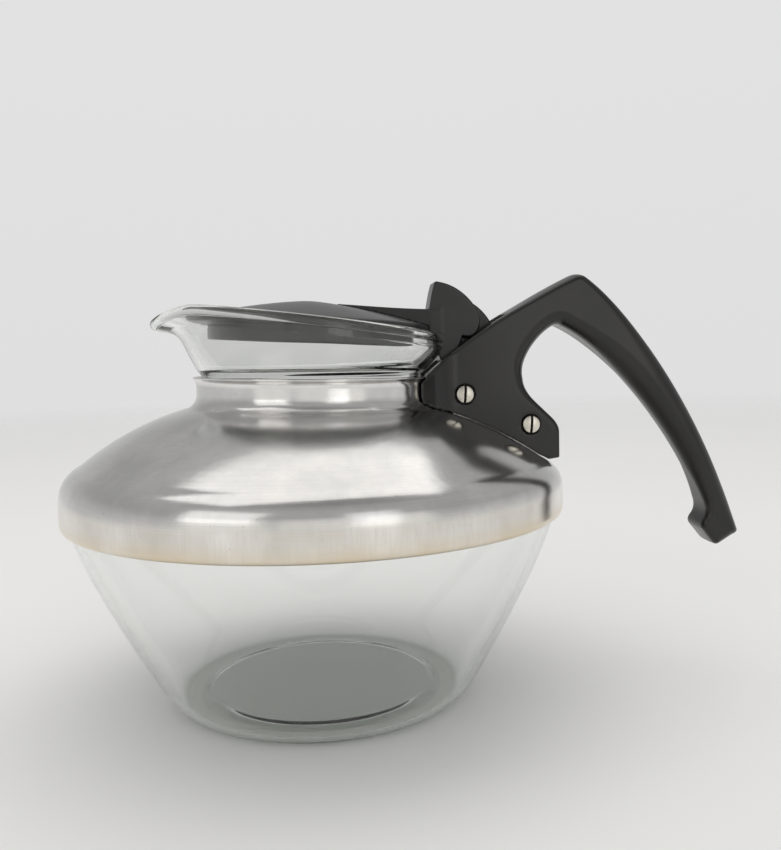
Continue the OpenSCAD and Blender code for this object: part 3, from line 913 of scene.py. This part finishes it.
def add(tree, kind, **values):
    """A node with its settings and input values."""
    node = tree.nodes.new(kind)
    for key, value in values.items():
        if hasattr(node, key):
            setattr(node, key, value)
        else:
            feed(tree, node, **{key: value})
    return node


def noise(tree, place, scale, detail=4.0, rough=0.6):
    node = add(tree, "ShaderNodeTexNoise", Scale=scale, Detail=detail, Roughness=rough, Vector=place)
    return node.outputs["Fac"]


def stretched(tree, place, x, y, z):
    """The place scaled along each axis."""
    node = add(tree, "ShaderNodeMapping", vector_type="POINT", Vector=place)
    node.inputs["Scale"].default_value = (x, y, z)
    return node.outputs["Vector"]


def ramp(tree, value, stops):
    """A colour ramp over a value; each stop is a position and a grey level or a colour."""
    node = tree.nodes.new("ShaderNodeValToRGB")
    elements = node.color_ramp.elements
    elements[0].position = stops[0][0]
    elements[-1].position = stops[-1][0]
    for at, level in stops[1:-1]:
        elements.new(at)
    for element, (at, level) in zip(elements, stops):
        element.color = (*level, 1) if isinstance(level, tuple) else (level, level, level, 1)
    tree.links.new(value, node.inputs["Fac"])
    return node.outputs["Color"]


def maths(tree, how, *values):
    """The result of a calculation with one to three numbers or sockets."""
    node = add(tree, "ShaderNodeMath", operation=how)
    for socket, value in zip(node.inputs, values):
        put(tree, socket, value)
    return node.outputs[0]


def mixed(tree, share, a, b):
    """Two colours mixed; each is a socket or a colour."""
    node = add(tree, "ShaderNodeMix", data_type="RGBA", Factor=share)
    put(tree, node.inputs[6], a)
    put(tree, node.inputs[7], b)
    return node.outputs[2]


def bump(tree, height, distance, strength, under=None):
    """A normal bent by a height, and by the normal that lies under it."""
    node = add(tree, "ShaderNodeBump", Strength=strength, Distance=distance, Height=height)
    if under is not None:
        feed(tree, node, Normal=under)
    return node.outputs["Normal"]


def place_of(tree):
    return tree.nodes.new("ShaderNodeTexCoord").outputs["Object"]


def split(tree, place):
    """The place's X, Y and Z."""
    parts = tree.nodes.new("ShaderNodeSeparateXYZ")
    tree.links.new(place, parts.inputs[0])
    return parts.outputs


def polar(tree, place):
    """Distance from the axis, the angle round it and the height, in metres."""
    x, y, z = split(tree, place)
    square = maths(tree, "MULTIPLY_ADD", x, x, maths(tree, "MULTIPLY", y, y))
    radius = maths(tree, "SQRT", square)
    angle = maths(tree, "ARCTAN2", y, x)
    return radius, angle, z


def joined_place(tree, x, y, z):
    """A place from its X, Y and Z."""
    return add(tree, "ShaderNodeCombineXYZ", X=x, Y=y, Z=z).outputs[0]


def above(tree, height, start, run, stops):
    """A ramp over a height that begins at start and runs on for run, both in millimetres."""
    return ramp(tree, maths(tree, "MULTIPLY_ADD", height, 1 / (run * MM), -start / run), stops)


def see_through(tree, share, shader, clear, output):
    """Sends a share of the surface through a transparent shader."""
    choice = tree.nodes.new("ShaderNodeMixShader")
    for socket, value in zip(choice.inputs, (share, shader.outputs[0], clear.outputs[0])):
        put(tree, socket, value)
    feed(tree, output, Surface=choice.outputs[0])


def bakelite(name, tone, shine):
    """Moulded black phenolic resin with a hand-worn satin face."""
    material, tree, shader, _ = blank(name)
    place = place_of(tree)
    cloud = noise(tree, place, 45.0, 5.0)
    grain = noise(tree, place, 900.0, 3.0)
    worn = noise(tree, place, 16.0, 4.0, 0.7)
    scuffs = noise(tree, stretched(tree, place, 60.0, 400.0, 900.0), 1.0, 3.0)
    low = tuple(0.82 * c for c in tone)
    high = tuple(1.2 * c for c in tone)
    colour = mixed(tree, ramp(tree, cloud, [(0.35, 0.0), (0.68, 1.0)]), low, high)
    rough = maths(tree, "MULTIPLY_ADD", worn, 0.18, shine)
    rough = maths(tree, "MULTIPLY_ADD", ramp(tree, scuffs, [(0.62, 0.0), (0.72, 1.0)]), 0.06, rough)
    fine = bump(tree, grain, 0.00002, 0.5)
    wave = bump(tree, noise(tree, place, 22.0, 2.0), 0.0004, 0.35, fine)
    feed(tree, shader, Base_Color=colour, Roughness=rough, Normal=wave, IOR=1.45)
    feed(tree, shader, Specular_IOR_Level=0.3, Coat_Weight=0.4, Coat_Roughness=0.12)
    return material


def polished_shell():
    """Spun and polished aluminium: turning lines on the cone, a brushed band whose warm tan tones are
    partly stain and partly a painted reflection of the floor.
    """
    material, tree, shader, _ = blank("spun_aluminium")
    place = place_of(tree)
    radius, angle, height = polar(tree, place)
    ring_x = maths(tree, "MULTIPLY", radius, 2600.0)
    ring_z = maths(tree, "MULTIPLY", height, 2600.0)
    rings = noise(tree, joined_place(tree, ring_x, 0.0, ring_z), 1.0, 4.0, 0.7)
    brush_x = maths(tree, "MULTIPLY", angle, 110.0)
    brush_y = maths(tree, "MULTIPLY", height, 90.0)
    brush = noise(tree, joined_place(tree, brush_x, brush_y, 0.0), 1.0, 4.0, 0.65)
    patch_x = maths(tree, "MULTIPLY", angle, 3.2)
    patch_y = maths(tree, "MULTIPLY", height, 14.0)
    patches = noise(tree, joined_place(tree, patch_x, patch_y, 3.0), 1.0, 3.0, 0.6)
    mottle = noise(tree, place, 55.0, 5.0, 0.62)
    specks = noise(tree, place, 900.0, 2.0)
    smears = noise(tree, stretched(tree, place, 20.0, 20.0, 90.0), 1.0, 4.0)
    band = above(tree, height, band_top - 8.5, 4.0, [(0.0, 1.0), (1.0, 0.0)])
    low_edge = above(tree, height, skirt_low + 0.5, 6.0, [(0.0, 1.0), (1.0, 0.0)])
    clouds = ramp(tree, mottle, [(0.4, 0.0), (0.7, 1.0)])
    cool = mixed(tree, clouds, (0.74, 0.735, 0.725), (0.88, 0.865, 0.84))
    cool = mixed(tree, ramp(tree, rings, [(0.35, 0.22), (0.6, 0.0)]), cool, (0.60, 0.59, 0.57))
    # The band's warm tan tones, strongest toward its lower edge, are partly real stain and partly a painted
    # warm reflection of the floor.
    worn = ramp(tree, patches, [(0.38, 0.0), (0.62, 1.0)])
    warm = mixed(tree, worn, (0.70, 0.665, 0.61), (0.88, 0.865, 0.83))
    warm = mixed(tree, ramp(tree, brush, [(0.3, 0.30), (0.6, 0.0)]), warm, (0.56, 0.51, 0.44))
    stain_and_floor_reflection = maths(tree, "MULTIPLY", low_edge, ramp(tree, mottle, [(0.3, 0.35), (0.62, 0.95)]))
    warm = mixed(tree, stain_and_floor_reflection, warm, (0.74, 0.63, 0.46))
    dots = ramp(tree, specks, [(0.70, 0.0), (0.76, 0.55)])
    tone = mixed(tree, dots, mixed(tree, band, cool, warm), (0.42, 0.38, 0.32))
    around = add(tree, "ShaderNodeTangent", direction_type="RADIAL", axis="Z").outputs[0]
    shine = maths(tree, "MULTIPLY_ADD", smears, 0.16, 0.09)
    shine = maths(tree, "MULTIPLY_ADD", maths(tree, "MULTIPLY", band, brush), 0.07, shine)
    collar = above(tree, height, collar_low + 2.0, 3.0, [(0.0, 0.0), (1.0, 1.0)])
    shine = maths(tree, "MULTIPLY_ADD", collar, -0.05, shine)
    turning = bump(tree, rings, 0.00002, 0.8)
    ripple = bump(tree, noise(tree, place, 60.0, 3.0), 0.0003, 0.22, turning)
    feed(tree, shader, Base_Color=tone, Metallic=1.0, Roughness=shine, Normal=ripple)
    feed(tree, shader, Anisotropic=0.55, Anisotropic_Rotation=0.25, Tangent=around)
    return material


def steel(name, colour, rough, scale=700.0, shade_from=None):
    """Plated or plain steel, with painted shade behind a plane that stands across Y."""
    material, tree, shader, _ = blank(name)
    place = place_of(tree)
    spots = noise(tree, place, scale, 4.0)
    wide = noise(tree, place, scale / 8, 3.0)
    dark = tuple(0.7 * c for c in colour)
    tone = mixed(tree, ramp(tree, wide, [(0.35, 0.0), (0.65, 1.0)]), dark, colour)
    shine = maths(tree, "MULTIPLY_ADD", spots, 0.22, rough)
    if shade_from is not None:
        # Painted shade: past a plane across Y the metal turns dark and dull, in the screw's slot and round
        # its head.
        _, y, _ = split(tree, place)
        depth = maths(tree, "MULTIPLY_ADD", y, 1 / (0.25 * MM), -shade_from / 0.25)
        slot_shade = ramp(tree, maths(tree, "MULTIPLY_ADD", spots, 0.6, depth), [(0.0, 0.0), (1.0, 1.0)])
        tone = mixed(tree, slot_shade, tone, (0.035, 0.03, 0.025))
        shine = maths(tree, "MULTIPLY_ADD", slot_shade, 0.35, shine)
    pits = bump(tree, spots, 0.00003, 0.5)
    feed(tree, shader, Base_Color=tone, Metallic=1.0, Roughness=shine, Normal=pits)
    return material


def rubber():
    """Dull dark rubber with dust in its grain."""
    material, tree, shader, _ = blank("grey_rubber")
    place = place_of(tree)
    grain = noise(tree, place, 1200.0, 3.0)
    dust = noise(tree, place, 80.0, 5.0)
    tone = mixed(tree, dust, (0.03, 0.03, 0.032), (0.09, 0.088, 0.085))
    rough = maths(tree, "MULTIPLY_ADD", grain, 0.2, 0.6)
    feed(tree, shader, Base_Color=tone, Roughness=rough, Normal=bump(tree, grain, 0.00004, 0.6))
    return material


def clear_glass():
    """Borosilicate glass with a faint green cast in its depth and faint water marks."""
    material, tree, shader, output = blank("clear_glass")
    place = place_of(tree)
    marks = noise(tree, place, 70.0, 5.0, 0.7)
    dull = maths(tree, "MULTIPLY", ramp(tree, marks, [(0.62, 0.0), (0.8, 1.0)]), 0.05)
    waves = bump(tree, noise(tree, place, 14.0, 2.0), 0.0009, 0.1)
    feed(tree, shader, Base_Color=(1.0, 1.0, 1.0), Roughness=dull, Normal=waves)
    feed(tree, shader, Transmission_Weight=1.0, IOR=1.47)
    light_path = tree.nodes.new("ShaderNodeLightPath")
    clear = add(tree, "ShaderNodeBsdfTransparent", Color=(0.95, 0.965, 0.95))
    see_through(tree, light_path.outputs["Is Shadow Ray"], shader, clear, output)
    depth = add(tree, "ShaderNodeVolumeAbsorption", Color=(0.70, 0.86, 0.66), Density=16.0)
    feed(tree, output, Volume=depth.outputs[0])
    return material


handle_black = bakelite("black_bakelite", (0.013, 0.012, 0.0115), 0.22)
lid_black = bakelite("black_lid_resin", (0.018, 0.017, 0.017), 0.30)
aluminium = polished_shell()
glass = clear_glass()
# The clamp screws get painted shade in their slots and round their heads.
nickel = steel("nickel_plate", (0.74, 0.70, 0.62), 0.16, shade_from=screw_face + 0.85)
nut_nickel = steel("nut_nickel", (0.70, 0.67, 0.60), 0.20)
plain_steel = steel("clamp_steel", (0.55, 0.54, 0.52), 0.30)
seal = rubber()

make_glass(glass)
make_shell(aluminium)
make_ring("neck_seal", "neck_liner", seal)
make_ring("skirt_seal", "skirt_cushion", seal)
make_handle(handle_black)
make_cover(lid_black)
make_lever(lid_black)
for side in ("upper", "lower"):
    make_screw(side + "_screw", side + "_clamp_screw", nickel)
    make_nut(side + "_nut", side + "_clamp_nut", nut_nickel)
for side in ("near", "far"):
    make_lid_screw(side + "_lid_screw", side + "_cover_screw", plain_steel)
for node in ("near_clamp_lug", "far_clamp_lug", "hinge_pin"):
    carried = bpy.data.objects[node]
    for slot_number in range(len(carried.material_slots)):
        carried.material_slots[slot_number].material = plain_steel


# ---------------------------------------------------------------- floor, light and camera
def make_floor():
    """A pale floor that fades into the backdrop far from the object."""
    radius = 4.0
    angles = np.linspace(0, 2 * math.pi, 96, endpoint=False)
    mesh = bpy.data.meshes.new("floor")
    edge = [(radius * math.cos(a), radius * math.sin(a), 0) for a in angles]
    mesh.from_pydata(edge, [], [list(range(len(edge)))])
    floor = bpy.data.objects.new("floor", mesh)
    bpy.context.scene.collection.objects.link(floor)
    material, tree, shader, output = blank("pale_floor")
    place = place_of(tree)
    tone = mixed(tree, noise(tree, place, 3.0, 3.0), (0.80, 0.795, 0.785), (0.84, 0.835, 0.825))
    feed(tree, shader, Base_Color=tone, Roughness=0.6, Specular_IOR_Level=0.2)
    away, _, _ = polar(tree, place)
    fade = ramp(tree, maths(tree, "MULTIPLY", away, 1 / radius), [(0.12, 0.0), (0.60, 1.0)])
    see_through(tree, fade, shader, tree.nodes.new("ShaderNodeBsdfTransparent"), output)
    mesh.materials.append(material)


def make_world():
    """An even pale room, and for polished faces a duller one with a wide window behind the camera."""
    world = bpy.data.worlds.new("studio")
    bpy.context.scene.world = world
    world.use_nodes = True
    tree = world.node_tree
    tree.nodes.clear()
    x, y, z = split(tree, tree.nodes.new("ShaderNodeTexCoord").outputs["Generated"])
    light_path = tree.nodes.new("ShaderNodeLightPath")
    plain = ramp(tree, z, [(0.0, 0.74), (0.4, 0.76), (1.0, 0.72)])
    room = ramp(tree, z, [(0.0, 0.60), (0.18, 0.50), (0.42, 0.38), (0.75, 0.42), (0.86, 0.32), (1.0, 0.20)])
    turn = maths(tree, "ARCTAN2", x, maths(tree, "MULTIPLY", y, -1.0))
    panes = ramp(
        tree,
        maths(tree, "MULTIPLY_ADD", turn, 0.25, 0.5),
        [
            (0.0, 0.0), (0.24, 0.05), (0.26, 0.85), (0.40, 1.0), (0.41, 0.25),
            (0.425, 0.25), (0.435, 0.8), (0.50, 0.7), (0.56, 0.75), (0.57, 0.2),
            (0.58, 0.2), (0.59, 1.0), (0.71, 0.85), (0.73, 0.05), (1.0, 0.0),
        ],
    )
    high = ramp(tree, z, [(0.30, 1.0), (0.42, 0.0)])
    window = maths(tree, "MULTIPLY", panes, high)
    room = mixed(tree, window, room, (0.86, 0.85, 0.82))
    seen = mixed(tree, light_path.outputs["Is Glossy Ray"], plain, room)
    strength = maths(tree, "MULTIPLY_ADD", light_path.outputs["Is Diffuse Ray"], 0.12, 1.0)
    background = add(tree, "ShaderNodeBackground", Color=seen, Strength=strength)
    add(tree, "ShaderNodeOutputWorld", Surface=background.outputs[0])


def make_lamp(name, place, target, size, power, colour=(1, 1, 1)):
    """A soft box that faces its target."""
    data = bpy.data.lights.new(name, "AREA")
    data.shape = "RECTANGLE"
    data.size, data.size_y = size
    data.energy = power
    data.color = colour
    lamp = bpy.data.objects.new(name, data)
    bpy.context.scene.collection.objects.link(lamp)
    lamp.location = place
    lamp.rotation_euler = (Vector(target) - Vector(place)).to_track_quat("-Z", "Y").to_euler()


camera_place = (0, -0.3397, 0.1319)
camera_turn = (5.09, 4.63, -1.39)
sensor = 36.0
view_length = 856.9 / 850


def make_camera():
    """The view of the photograph: its place, its turn and how wide it sees."""
    yaw, pitch, roll = (math.radians(v) for v in camera_turn)
    forward = Vector((math.sin(yaw) * math.cos(pitch), math.cos(yaw) * math.cos(pitch), -math.sin(pitch)))
    level = Vector((math.cos(yaw), -math.sin(yaw), 0))
    rise = level.cross(forward)
    right = level * math.cos(roll) + rise * math.sin(roll)
    up = -level * math.sin(roll) + rise * math.cos(roll)
    data = bpy.data.cameras.new("camera")
    data.sensor_width = sensor
    data.sensor_fit = "AUTO"
    data.lens = sensor * view_length
    camera = bpy.data.objects.new("camera", data)
    bpy.context.scene.collection.objects.link(camera)
    turn = Matrix((right, up, -forward)).transposed().to_4x4()
    camera.matrix_world = Matrix.Translation(camera_place) @ turn
    bpy.context.scene.camera = camera


make_floor()
make_world()
middle = (0.02, 0, 0.09)
make_lamp("overhead", (-0.05, 0.20, 1.40), middle, (1.8, 0.9), 4.3, (1.0, 0.985, 0.96))
make_lamp("key", (-1.1, -1.2, 0.9), middle, (1.0, 1.0), 2.0, (1.0, 0.99, 0.97))
make_lamp("fill", (0.55, -1.25, 0.45), middle, (0.5, 0.9), 0.8)
make_camera()

bpy.context.scene.view_settings.view_transform = "Standard"
